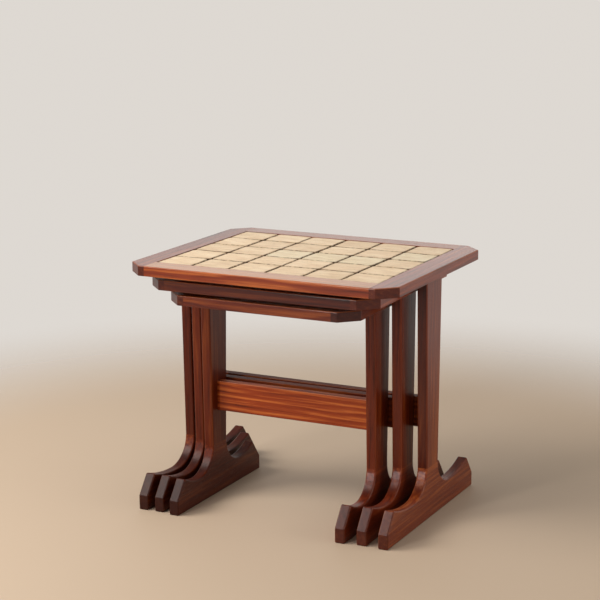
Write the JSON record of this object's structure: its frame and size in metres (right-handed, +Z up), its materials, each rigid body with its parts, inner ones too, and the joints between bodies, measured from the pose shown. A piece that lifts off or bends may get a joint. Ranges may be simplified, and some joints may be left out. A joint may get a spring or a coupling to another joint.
{
  "type": "nesting tables",
  "caption": "Nest of wooden side tables on long shaped feet, with clipped top corners and low stretchers; the largest top is tiled, and the smaller tables slide out forwards.",
  "frame": {"origin": "on the floor under the middle of the large table's top", "axes": "+Z up, +X to the right along the length of the tops, -Y towards the side from which the smaller tables slide out"},
  "size_m": [0.54, 0.44, 0.476],
  "materials": {
    "wood": "satin mahogany brown stain and lacquer",
    "panel_wood": "satin mahogany brown stain and lacquer",
    "dowel_wood": "plain turned beech",
    "board": "raw plywood",
    "tile": "satin sand-coloured tile with fine streaks",
    "grout": "matt brown grout"
  },
  "bodies": {
    "large_table": {"large_back_rail": "wood", "large_foot_dowels": "dowel_wood", "large_foot_left": "wood", "large_foot_right": "wood", "large_front_rail": "wood", "large_leg_left": "wood", "large_leg_right": "wood", "large_leg_top_dowels": "dowel_wood", "large_side_rail_left": "wood", "large_side_rail_right": "wood", "large_stretcher": "wood", "large_tile_board": "board", "large_tile_grout": "grout", "large_tiles": "tile"},
    "middle_table": {"middle_back_rail": "wood", "middle_foot_dowels": "dowel_wood", "middle_foot_left": "wood", "middle_foot_right": "wood", "middle_front_rail": "wood", "middle_leg_left": "wood", "middle_leg_right": "wood", "middle_leg_top_dowels": "dowel_wood", "middle_side_rail_left": "wood", "middle_side_rail_right": "wood", "middle_stretcher": "wood", "middle_top_panel": "panel_wood"},
    "small_table": {"small_back_rail": "wood", "small_foot_dowels": "dowel_wood", "small_foot_left": "wood", "small_foot_right": "wood", "small_front_rail": "wood", "small_leg_left": "wood", "small_leg_right": "wood", "small_leg_top_dowels": "dowel_wood", "small_side_rail_left": "wood", "small_side_rail_right": "wood", "small_stretcher": "wood", "small_top_panel": "panel_wood"}
  },
  "joints": [
    {"name": "middle_table_slide", "type": "slide", "parent": "large_table", "child": "middle_table", "axis": [0, -1, 0], "range_m": [0, 0.46]},
    {"name": "small_table_slide", "type": "slide", "parent": "middle_table", "child": "small_table", "axis": [0, -1, 0], "range_m": [0, 0.38]}
  ]
}
